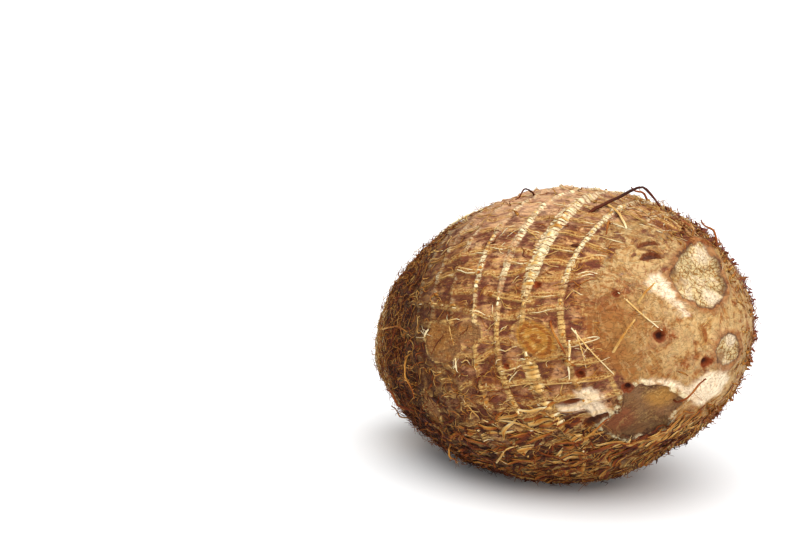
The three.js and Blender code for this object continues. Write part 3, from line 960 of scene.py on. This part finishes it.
def strandMesh(name, strands, material, sides=3, turned=0.25):
    # each entry of strands: paths, directions away from the skin, radii, flatness, tones, how violet
    paths, ups, radii, flats, tones, violets = (np.concatenate(part) for part in zip(*strands))
    count, steps = radii.shape
    print(name, count, "strands")
    ahead = np.gradient(paths, axis=1)
    ahead /= np.linalg.norm(ahead, axis=-1, keepdims=True) + 1e-9
    across = np.cross(ahead, ups)
    across /= np.linalg.norm(across, axis=-1, keepdims=True) + 1e-9
    over = np.cross(across, ahead)
    turns = 2 * pi * (np.arange(sides) + turned) / sides
    ring = across[:, :, None] * np.cos(turns)[:, None]
    ring = ring + over[:, :, None] * (np.sin(turns)[None, :] * flats[:, None, None])[..., None]
    spots = paths[:, :, None] + ring * radii[:, :, None, None]
    spots = spots.reshape(-1, 3)
    index = np.arange(count * steps * sides).reshape(count, steps, sides)
    after = np.roll(index, -1, axis=2)
    quads = np.stack([index[:, :-1], index[:, 1:], after[:, 1:], after[:, :-1]], -1).reshape(-1, 4)
    root, tip = index[:, 0], index[:, -1, ::-1]
    mesh = bpy.data.meshes.new(name)
    placed = spots * mm
    placed[:, 2] = np.maximum(placed[:, 2], 0.00005)
    mesh.from_pydata(placed, [], [*quads.tolist(), *root.tolist(), *tip.tolist()])

    cells = int(np.ceil(np.sqrt(count)))
    home = np.stack([np.arange(count) % cells, np.arange(count) // cells], -1)[:, None, None]
    u, v = np.meshgrid(np.arange(sides) / sides, np.arange(steps - 1) / (steps - 1))
    du, dv = 1 / sides, 1 / (steps - 1)
    patch = np.stack([u, v, u, v + dv, u + du, v + dv, u + du, v], -1).reshape(1, -1, 4, 2)
    tubeMap = ((home + 0.1 + 0.8 * patch) / cells).reshape(-1, 2)
    end = np.stack([np.arange(sides) / sides, np.zeros(sides)], -1).reshape(1, 1, sides, 2)
    rootMap = ((home + 0.1 + 0.8 * end) / cells).reshape(-1, 2)
    tipMap = ((home + 0.1 + 0.8 * (end + (0, 1))) / cells).reshape(-1, 2)
    writeMap(mesh, np.concatenate([tubeMap, rootMap, tipMap]))
    # painted highlight along the edges of flat four-sided strands, their faces a little darker
    edgeHighlight = np.where(np.abs(np.cos(turns)) > 0.7, 0.16, -0.08) * (sides == 4 and turned != 0.5)
    patches = 0.10 * np.sin(np.linspace(0, 7, steps) + 9.0 * tones[:, None])
    writeFloats(mesh, "tone", tones[:, None, None] + patches[:, :, None] + edgeHighlight)
    writeFloats(mesh, "violet", np.repeat(violets, steps * sides))
    writeSpots(mesh, spots)
    addPiece(name, mesh, material)


def scatter(random, wanted, density):
    # places spread evenly over the skin, then thinned by how likely a strand is at each
    fine = np.linspace(-0.995, 0.995, 2001) * body["halfLength"]
    points = smoothBody(fine, np.full(fine.shape, pi / 2))[0]
    travelled = np.concatenate([[0], np.cumsum(np.linalg.norm(np.diff(points, axis=0), axis=1))])
    area = np.cumsum(points[:, 2] * np.gradient(travelled))
    tries = wanted * 8
    place = np.interp(random.random(tries) * area[-1], area, fine)
    angle = random.random(tries) * 2 * pi
    keep = random.random(tries) < density(place, angle)
    return place[keep][:wanted], angle[keep][:wanted]


def crawl(place, angle, heading, length, steps, bend, wave, random):
    # walks over the skin from each place, with its heading swinging as it goes
    count = len(place)
    t = np.linspace(0, 1, steps)
    turns = t[None] * random.uniform(0.7, 1.6, (count, 1)) + random.random((count, 1))
    swing = wave * np.sin(2 * pi * turns)
    headings = heading[:, None] + bend[:, None] * t[None] + swing
    stride = length[:, None] / (steps - 1)
    places, angles = [place], [angle]
    for i in range(steps - 1):
        point, normal = smoothBody(places[-1], angles[-1])
        radius = np.maximum(np.hypot(point[:, 1], point[:, 2]), 2.5)
        along = np.sqrt(np.maximum(1 - normal[:, 0] ** 2, 0.03))
        step = stride[:, 0]
        nextPlace = places[-1] + step * np.cos(headings[:, i]) * along
        places.append(np.clip(nextPlace, -60.2, 60.2))
        angles.append(angles[-1] + step * np.sin(headings[:, i]) / radius)
    return np.stack(places, 1), np.stack(angles, 1)


def overSkin(places, angles, heights):
    made = skin(places, angles)
    spots = made["spot"] + made["normal"] * heights[..., None]
    return leaned(spots), leanedWay(made["normal"]), made


def clearOfFloor(paths, least=0.35):
    paths[..., 2] = np.maximum(paths[..., 2], least)
    return paths


def taper(steps, thick, ends=0.25):
    t = np.linspace(0, 1, steps)
    return thick[:, None] * (ends + (1 - ends) * np.sin(pi * (0.12 + 0.8 * t))[None])


def clearOf(made, least):
    # which strands stay further than this from each kind of mark
    return np.all([made[name].min(1) > away for name, away in least.items()], axis=0)


def netCords(random):
    # two pale strands along every cord, apart in the middle and joined at the ends
    steps = 11
    t = np.linspace(0, 1, steps)
    strands = []
    parts = (np.array(part)[:, None] for part in zip(*plannedCords))
    x0, angle0, x1, angle1, wave, turn, gap, thick, tone = parts
    count = len(x0)
    x = x0 + (x1 - x0) * t
    for side in (-1, 1):
        shift, angle = 0, angle0 + 0 * x
        wobble = 0.05 * np.sin(2 * pi * (2.1 * t + random.random((count, 1))))
        for _ in range(3):      # finds the place that its ring's shift takes to x
            radius = np.maximum(np.linalg.norm(smoothBody(x, angle)[0][..., 1:], axis=-1), 3)
            line = cordLine(x, (x0, angle0, x1, angle1, wave, turn), radius)[0]
            angle = line + side * (0.5 * gap * np.sin(pi * t) ** 0.7 + 0.08 + wobble) / radius
            shift = ringShift(x - shift, angle)
        lift = 0.08 + 0.14 * random.random((count, 1)) + 0 * x
        paths, ups, made = overSkin(x - shift, angle, lift)
        keep = (made["bare"].mean(1) < 0.8) & (made["pressed"].max(1) < 0.2) & (random.random(count) > 0.08)
        keep &= clearOf(made, {"scar": 0.5, "peel": 0, "pit": 0, "disk": 0})
        swollen = 1 + 0.2 * np.sin(2 * pi * (1.7 * t + random.random((count, 1))))
        radii = thick * swollen * (0.45 + 0.55 * np.sin(pi * (0.1 + 0.8 * t)))
        shades = tone[:, 0] + random.normal(0, 0.05, count)
        # paler on the top and darker underneath as painted light and shade, darker towards the crown partly
        # as painted shade
        for name, share in (("darkAndShaded", -0.22), ("under", -0.12), ("over", 0.08)):
            shades = shades + share * made[name].mean(1)
        flats, violets = np.full(count, 0.7), np.zeros(count)
        strands.append([part[keep] for part in (paths, ups, radii, flats, shades, violets)])
    strandMesh("net_cords", strands, fibre)


plates = {
    "pitch": 1.3,
    "thick": 0.88,
    "flat": 0.12,
    "steps": 7,
}


def ringPlates(random):
    # short flat plates side by side across the pale rings, like the rungs of a ladder
    t = np.linspace(-1, 1, plates["steps"])
    strands = []
    for band, (start, _, _, paleness) in enumerate(rings["ridges"]):
        if paleness < 0.5:
            continue
        girth = smoothBody(np.array(start), np.array(pi / 2))[0][2]
        count = int(2 * pi * girth / plates["pitch"])
        angle = (2 * pi * (np.arange(count) + random.uniform(-0.18, 0.18, count)) / count)[:, None]
        half = ringHalf(band, angle)
        around = [0.16 * girth * np.cos(angle), 0.16 * girth * np.sin(angle)]
        spots = np.concatenate([start + 0 * angle, *around], 1)
        likely = paleness * (0.42 + 0.9 * lumps(spots, 2.2, 20))
        places = start + random.normal(0, 0.1, (count, 1)) + half * random.uniform(0.5, 1.05, (count, 1)) * t
        slant = random.normal(0, 0.04, (count, 1)) + 0.10 * random.normal(0, 1, (count, 1)) * t
        angles = angle + slant / girth
        paths, ups, made = overSkin(places, angles, 0.03 - 0.12 * t**4 + 0 * places)
        keep = (random.random(count) < likely) & (made["pressed"].max(1) < 0.2)
        keep &= (made["bare"].mean(1) < 0.93) & clearOf(made, {"scar": 0.5, "peel": 0, "pit": 0, "disk": 0.2})
        thick = plates["thick"] * random.uniform(0.5, 1.0, (count, 1)) * (0.7 + 0.3 * paleness)
        radii = thick * (0.8 + 0.2 * np.cos(0.5 * pi * t) ** 0.5)
        # paler on the top as a painted highlight, darker towards the crown partly as painted shade
        upper = made["over"].mean(1)
        tones = 0.50 + 0.34 * paleness + 0.16 * upper + random.normal(0, 0.09, count)
        tones = tones - 0.12 * made["darkAndShaded"].mean(1)
        flats, violets = np.full(count, plates["flat"]), np.zeros(count)
        strands.append([part[keep] for part in (paths, ups, radii, flats, tones, violets)])
    strandMesh("ring_plates", strands, fibre, sides=4, turned=0.5)


def mattedFibres(name, style):
    random = np.random.default_rng(style["seed"])
    wanted = int(style["count"] * (1))
    place, angle = scatter(random, wanted, style["density"])
    count = len(place)
    steps = style["steps"]
    heading = np.where(random.random(count) < 0.5, 0, pi) + random.normal(0, style["spread"], count)
    heading = heading + style.get("turned", 0)
    length = random.uniform(*style["length"], count)
    bend = random.normal(0, style["bend"], count)
    places, angles = crawl(place, angle, heading, length, steps, bend, style["wave"], random)
    t = np.linspace(0, 1, steps)
    rise = random.uniform(*style["rise"], count)[:, None]
    arch = np.sin(pi * t)[None] if style["lies"] else t[None] ** 1.3
    heights = -0.08 + rise * arch + 0.12 * rise * np.sin(9 * t[None] + 6 * random.random((count, 1)))
    paths, ups, made = overSkin(places, angles, heights)
    mean = {key: made[key].mean(1) for key in ("darkAndShaded", "bare", "under", "far", "over")}
    keep = (made["pressed"].max(1) < 0.35) & clearOf(made, {"scar": -0.3, "pit": 0, "slit": 0})
    if style["lies"]:
        keep &= clearOf(made, {"disk": -0.4, "peel": -0.4}) & (made["chalk"].max(1) < 0.45)
    else:
        keep &= clearOf(made, {"peel": 0.3}) & (made["chalk"].max(1) < 0.4)
    radii = taper(steps, random.uniform(*style["radius"], count), style["ends"])
    # paler on the top and darker underneath as painted light and shade; darker towards the crown partly as
    # painted shade
    tones = random.uniform(*style["tone"], count) + 0.06 * mean["over"]
    tones = tones - style["darker"] * mean["darkAndShaded"] - 1.1 * style["darker"] * mean["under"]
    tones = tones + np.maximum(0, 0.56 - tones) * mean["bare"]      # nothing dark lies on the bare base
    violet = (random.random(count) < style.get("violet", 0)) * smooth(mean["far"], 0.0, 0.5)
    violet = violet * smooth(place, 24, 40)
    parts = (clearOfFloor(paths), ups, radii, np.full(count, style["flat"]), tones, violet)
    strandMesh(name, [[part[keep] for part in parts]], fibre, style["sides"])


def papery(place, angle):
    # how smooth and papery the skin is: most on the upper side, away from the crown
    return smooth(np.sin(angle), -0.25, 0.35) * smooth(place, -32, -12)


def tufted(place, angle):
    # the rougher skin along the top of the base end
    aside, over, _ = facing(place, angle)
    return smooth(place, 24, 32) * smooth(over, 0.25, 0.6) * smooth(aside, -0.24, -0.06)


def crownDensity(place, angle):
    away = 1 - 0.75 * smooth(-place, 44, 49)       # the crown's terraces are nearly bare
    shaggy = (0.35 + 0.65 * smooth(-place, 5, 30)) * (1 - 0.85 * papery(place, angle))
    return np.where(place < 2, shaggy * away, 0)


def baseDensity(place, angle):
    aside, _, under = facing(place, angle)
    later = 0.12 * smooth(place, 26, 44)
    under = smooth(under, 0.28 + later, 0.75)
    netSide = 0.35 * (1 - smooth(place, 20, 38)) * (1 - 0.75 * papery(place, angle))
    tufts = 0.3 * tufted(place, angle)
    likely = 0.008 + netSide + 0.22 * under + 0.25 * smooth(aside, 0.1, 0.6) + tufts
    return np.where(place >= 2, np.clip(likely, 0, 1), 0)


def scrapDensity(place, angle):
    return smooth(-place, 43, 46) * (1 - 0.6 * smooth(-place, 57, 59))


def ribbonDensity(place, angle):
    later = 0.15 * smooth(place, 26, 44)
    under = smooth(facing(place, angle)[2], 0.2 + later, 0.65)
    clumped = smooth(lumps(smoothBody(place, angle)[0], np.array([9.0, 6.0, 6.0]), 25), -0.3, 0.25)
    return under * smooth(place, -42, -24) * (0.12 + 0.88 * clumped)


def curlyDensity(place, angle):
    aside, _, under = facing(place, angle)
    back = smooth(-place, 14, 36) * (1 - 0.8 * smooth(-place, 45, 50))
    tufts = 0.25 * tufted(place, angle)
    likely = 0.01 + 0.85 * back + 0.13 * smooth(under, 0.1, 0.8) + 0.1 * smooth(aside, 0, 0.5) + tufts
    return np.clip(likely, 0, 1)


def flakeDensity(place, angle):
    aside, _, under = facing(place, angle)
    bare = smooth(place, 26, 40)
    far = smooth(aside + 0.10 * np.sin(0.4 * place + 2 * angle), -0.12, 0.3)
    seen = 0.015 * (1 - bare) + 0.2 * smooth(under, 0.2, 0.8) + 0.06 * far + 0.55 * far * bare
    return np.clip(seen, 0, 1) * smooth(place, -46, -38)


fibrePieces = {
    "matted_fibres_crown": {
        "seed": 5, "count": 4400, "density": crownDensity, "steps": 7, "sides": 3, "spread": 0.95,
        "length": (2.0, 6.5), "bend": 1.5, "wave": 0.7, "rise": (0.05, 0.7), "radius": (0.09, 0.19),
        "ends": 0.3, "tone": (0.28, 0.98), "darker": 0.34, "flat": 0.8, "lies": True,
    },
    "matted_fibres_base": {
        "seed": 7, "count": 2800, "density": baseDensity, "steps": 6, "sides": 3, "spread": 0.5,
        "length": (2.2, 6.5), "bend": 0.8, "wave": 0.35, "rise": (0.05, 0.45), "radius": (0.08, 0.18),
        "ends": 0.3, "tone": (0.34, 0.98), "darker": 0.2, "flat": 0.7, "lies": True,
    },
    "ribbons": {
        "seed": 15, "count": 1150, "density": ribbonDensity, "steps": 8, "sides": 4, "spread": 0.32,
        "length": (5.0, 13.0), "bend": 0.3, "wave": 0.2, "rise": (0.05, 0.6), "radius": (0.28, 0.82),
        "ends": 0.12, "tone": (0.34, 0.90), "darker": 0.2, "flat": 0.14, "lies": True,
    },
    "crown_scraps": {
        "seed": 17, "count": 420, "density": scrapDensity, "steps": 6, "sides": 4, "spread": 0.25,
        "turned": pi / 2, "length": (2.0, 7.0), "bend": 0.4, "wave": 0.25, "rise": (0.02, 0.4),
        "radius": (0.25, 0.9), "ends": 0.1, "tone": (0.40, 0.98), "darker": 0.0, "flat": 0.12, "lies": True,
    },
    "curly_hairs": {
        "seed": 9, "count": 2600, "density": curlyDensity, "steps": 8, "sides": 3, "spread": 1.2,
        "length": (3.0, 9.0), "bend": 2.8, "wave": 1.1, "rise": (0.4, 2.8), "radius": (0.06, 0.11),
        "ends": 0.3, "tone": (0.22, 0.8), "darker": 0.12, "flat": 1.0, "lies": False, "violet": 0.4,
    },
    "torn_flakes": {
        "seed": 11, "count": 1500, "density": flakeDensity, "steps": 4, "sides": 3, "spread": 1.0,
        "length": (1.0, 4.4), "bend": 0.8, "wave": 0.5, "rise": (0.2, 1.7), "radius": (0.2, 0.65),
        "ends": 0.12, "tone": (0.26, 0.72), "darker": 0.18, "flat": 0.22, "lies": False, "violet": 0.85,
    },
}


# Rootlets: the long one over the top, the small pale one below it, and the seeded ones


rootlets = {
    "named": [           # points are x, angle and height over the skin; then radius and tone
        ([
            (26.6, 111, -1.4), (28.2, 107, 0.6), (30.6, 99, 1.5), (32.2, 90, 2.8), (33.6, 83, 4.4),
            (35.6, 80, 3.0), (37.6, 77, 1.0), (39.4, 74, -1.4),
        ], 0.55, 0.16),
        ([
            (28.6, 98, -0.6), (29.6, 99, 0.7), (33.7, 103, 0.8), (37.0, 109, 0.7), (39.4, 114, -0.6),
        ], 0.42, 0.86),
        ([(-28.5, 107, 0.2), (-21, 103.5, 0.75), (-16.3, 100.5, 0.8), (-11, 97, 0.2)], 0.55, 1.05),
        ([(29.2, 174, -0.1), (28.9, 178, 0.3), (27.9, 184, 0.3), (26.9, 191, 0.0)], 0.36, 0.97),
        ([(40.6, 152, -0.3), (45.6, 164, 0.5), (49.6, 176, 0.1)], 0.22, 0.9),
        ([(30.0, 169, -0.1), (34.1, 180, 0.7), (37.6, 193, 0.2)], 0.2, 0.86),
        ([(30.9, 170, -0.1), (31.9, 179, 0.6), (31.8, 187, 0.1)], 0.18, 0.84),
        ([
            (-46.5, 148, 0.2), (-43.2, 154, 0.9), (-36, 157, 1.3), (-29, 159, 1.0), (-23.1, 164, 0.1),
        ], 0.27, 0.62),
        ([(-5.1, 175, 0.2), (-5.3, 178, 0.5), (-5.6, 181, 0.3)], 0.26, 1.0),
        ([(-16.6, 167, 0.1), (-15.3, 165, 0.7), (-14.2, 163.5, 0.5)], 0.32, 1.0),
        ([(-9.0, 166.5, 0.0), (-12.4, 170.5, 0.15), (-15.3, 175, 0.0)], 0.16, 0.3),
        ([(-6.4, 163, 0.1), (-5.8, 167, 0.3), (-5.3, 171, 0.1)], 0.2, 0.7),
        ([(-8.4, 227, 0.1), (-3.0, 220, 1.2), (1.3, 215, 1.4), (4.6, 215, 0.3)], 0.26, 0.78),
    ],
    "count": 20,
    "seed": 41,
    "along": (-50, 54),
    "radius": (0.42, 0.6),
    "length": (6, 12),
    "lift": (1.8, 3.6),
    "sunk": 1.6,
    "floorGap": 1.0,
}


def seededRandom(seed):
    state = seed
    while True:
        state = (state + 0x6D2B79F5) & 0xFFFFFFFF
        t = ((state ^ (state >> 15)) * (1 | state)) & 0xFFFFFFFF
        t = ((t + ((t ^ (t >> 7)) * (61 | t) & 0xFFFFFFFF)) & 0xFFFFFFFF) ^ t
        yield ((t ^ (t >> 14)) & 0xFFFFFFFF) / 4294967296


def overSwollen(x, degrees, height):
    point, normal = smoothBody(np.array(float(x)), np.array(radians(degrees)))
    return leaned(point + normal * (height + swell(point))), leanedWay(normal)


def seededPaths():
    draws = seededRandom(rootlets["seed"])
    between = lambda low, high: low + (high - low) * next(draws)
    paths = []
    while len(paths) < rootlets["count"]:
        x = between(*rootlets["along"])
        degrees = between(0, 360)
        length = between(*rootlets["length"])
        lift = between(*rootlets["lift"])
        heading = between(0, 2 * pi)
        radius = between(*rootlets["radius"])
        start = smoothBody(np.array(x), np.array(radians(degrees)))[0]
        around = max(12, np.hypot(start[1], start[2]))
        rise = [(0, -rootlets["sunk"]), (0.12, 0.9), (0.45, lift), (0.8, 0.8 * lift), (1, lift)]
        path = []
        for part, height in rise:
            onward = part * length * cos(heading)
            turned = part * length * sin(heading) / around * 180 / pi
            path.append((x + onward, degrees + turned, height))
        lowest = min(overSwollen(*spot)[0][2] for spot in path)
        if abs(path[-1][0]) < body["halfLength"] - 3 and lowest > rootlets["sunk"] + rootlets["floorGap"]:
            paths.append((path, radius))
    return paths


def roundedPath(points, steps):
    # a smooth line through the points, at even steps
    spots = np.array([overSwollen(*point)[0] for point in points])
    ups = np.array([overSwollen(*point)[1] for point in points])
    padded = np.concatenate([2 * spots[:1] - spots[1:2], spots, 2 * spots[-1:] - spots[-2:-1]])
    t = np.linspace(0, len(spots) - 1 - 1e-6, steps)
    i = t.astype(int)
    f = (t - i)[:, None]
    a, b, c, d = padded[i], padded[i + 1], padded[i + 2], padded[i + 3]
    line = 0.5 * (2 * b + (c - a) * f + (2 * a - 5 * b + 4 * c - d) * f**2 + (3 * b - a - 3 * c + d) * f**3)
    up = ups[i] * (1 - f) + ups[i + 1] * f
    return line, up


def makeRootlets(random):
    steps = 18
    strands = []
    planned = []
    for path, radius in seededPaths():
        onBase = path[0][0] > 34
        planned.append((path, 0.72 * radius, 0.22 + 0.42 * random.random() + 0.15 * onBase))
    for path, radius, tone in [*rootlets["named"], *planned]:
        line, up = roundedPath(path, steps)
        wobble = 0.12 * radius * random.normal(0, 1, (steps, 3))
        narrowing = 1.0 - 0.45 * np.linspace(0, 1, steps) ** 2
        radii = radius * narrowing * (1 + 0.10 * random.normal(0, 1, steps))
        line = clearOfFloor(line + wobble, 0.7)
        strands.append([line[None], up[None], radii[None], np.array([0.85]), np.array([tone]), np.zeros(1)])
        # fine side hairs
        hairs = 7
        pick = random.integers(3, steps - 1, hairs)
        aim = random.normal(0, 1, (hairs, 3)) + 0.6 * up[pick]
        aim /= np.linalg.norm(aim, axis=-1, keepdims=True)
        t = np.linspace(0, 1, steps)[None, :, None]
        reach = random.uniform(0.8, 2.4, (hairs, 1, 1))
        curl = random.normal(0, 0.5, (hairs, 1, 3))
        hairPaths = clearOfFloor(line[pick][:, None] + reach * (aim[:, None] * t + curl * t**2))
        thin = np.repeat(random.uniform(0.05, 0.09, (hairs, 1)), steps, 1) * (1 - 0.6 * t[..., 0])
        hairUps = np.repeat(up[pick][:, None], steps, 1)
        hairTones = np.full(hairs, tone + 0.1)
        strands.append([hairPaths, hairUps, thin, np.ones(hairs), hairTones, np.zeros(hairs)])
    strandMesh("rootlets", strands, fibre, sides=5)


# Camera, floor and light


view = {
    "azimuth": 38, "elevation": 14, "lens": 85, "sensor": 36, "width": 800, "height": 534, "pixel": 0.281,
    "middleX": 552.5, "middleY": 335.6,
}
studio = {
    "sky": 0.58,
    "floor": 0.78,
    "key": {"towards": (0.30, -0.20, 0.93), "strength": 4.05, "spread": 75},
    "fill": {"towards": (0.86, -0.42, 0.02), "strength": 2.1, "spread": 40},
}


def makeCamera():
    # the root's middle shows at (middleX, middleY), and one pixel there is view["pixel"] millimetres
    a, e = radians(view["azimuth"]), radians(view["elevation"])
    back = Vector((sin(a) * cos(e), -cos(a) * cos(e), sin(e)))
    right = Vector((cos(a), sin(a), 0))
    up = back.cross(right)
    centre = Vector((-body["lowestX"], 0, body["centreHeight"]))
    aside = (view["middleX"] - view["width"] / 2) * view["pixel"]
    below = (view["middleY"] - view["height"] / 2) * view["pixel"]
    distance = view["lens"] / view["sensor"] * view["width"] * view["pixel"]
    eye = (centre - right * aside + up * below + back * distance) * mm
    data = bpy.data.cameras.new("camera")
    data.lens = view["lens"]
    data.sensor_width = view["sensor"]
    data.clip_start = 0.01
    camera = bpy.data.objects.new("camera", data)
    camera.matrix_world = Matrix.Translation(eye) @ Matrix((right, up, back)).transposed().to_4x4()
    bpy.context.scene.collection.objects.link(camera)
    bpy.context.scene.camera = camera


def addSun(name, light):
    data = bpy.data.lights.new(name, "SUN")
    data.energy = light["strength"]
    data.angle = radians(light["spread"])
    lamp = bpy.data.objects.new(name, data)
    lamp.rotation_euler = Vector(light["towards"]).to_track_quat("Z", "Y").to_euler()
    bpy.context.scene.collection.objects.link(lamp)


def makeStudio():
    world = bpy.data.worlds.new("studio")
    world.use_nodes = True
    world.node_tree.nodes["Background"].inputs["Color"].default_value = (1, 1, 1, 1)
    world.node_tree.nodes["Background"].inputs["Strength"].default_value = studio["sky"]
    bpy.context.scene.world = world
    bpy.context.scene.view_settings.view_transform = "Standard"
    floorMesh = bpy.data.meshes.new("floor")
    reach = 40.0
    corners = [(-reach, -reach, 0), (reach, -reach, 0), (reach, reach, 0), (-reach, reach, 0)]
    floorMesh.from_pydata(corners, [], [(0, 1, 2, 3)])
    floor = bpy.data.objects.new("floor", floorMesh)
    bpy.context.scene.collection.objects.link(floor)
    paint = Paint("floor")
    paint.shader.inputs["Base Color"].default_value = (studio["floor"], studio["floor"], studio["floor"], 1)
    paint.shader.inputs["Roughness"].default_value = 0.9
    floorMesh.materials.append(paint.material)
    addSun("key", studio["key"])
    addSun("fill", studio["fill"])


makeCamera()
makeStudio()
fibre = dryFibre()
makeSkin()
print("skin made")
netCords(np.random.default_rng(4))
ringPlates(np.random.default_rng(8))
for name, style in fibrePieces.items():
    mattedFibres(name, style)
makeRootlets(np.random.default_rng(13))
print("fibres made")
